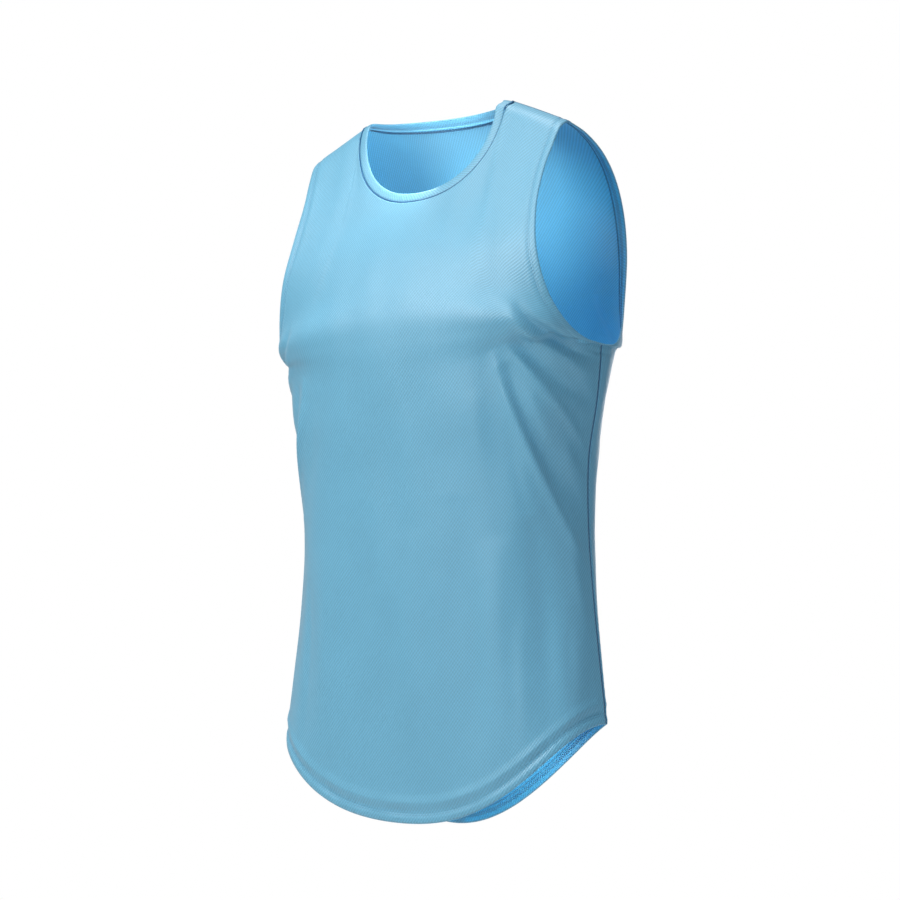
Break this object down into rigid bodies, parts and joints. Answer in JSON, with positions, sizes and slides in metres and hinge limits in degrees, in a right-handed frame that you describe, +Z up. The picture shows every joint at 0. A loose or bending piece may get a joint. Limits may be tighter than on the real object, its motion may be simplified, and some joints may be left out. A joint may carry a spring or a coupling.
{
  "type": "sleeveless running singlet, filled out as if worn",
  "caption": "Light-blue sleeveless running singlet in knit, with a round bound neck, deep armholes and a curved hem that dips at the front and back. It keeps a worn, hollow form.",
  "frame": {"origin": "midway between the two shoulder straps, at half a strap's height, in the plane of the side seams", "axes": "+Z up along the garment, -Y out of its front, +X to the wearer's left"},
  "size_m": [0.366, 0.218, 0.7161],
  "materials": {
    "knit": "matte fine diagonal knit",
    "neckband": "matte fine knit, folded double"
  },
  "bodies": {
    "root": {"front_panel": "knit", "back_panel": "knit", "neckband": "neckband"}
  },
  "joints": []
}
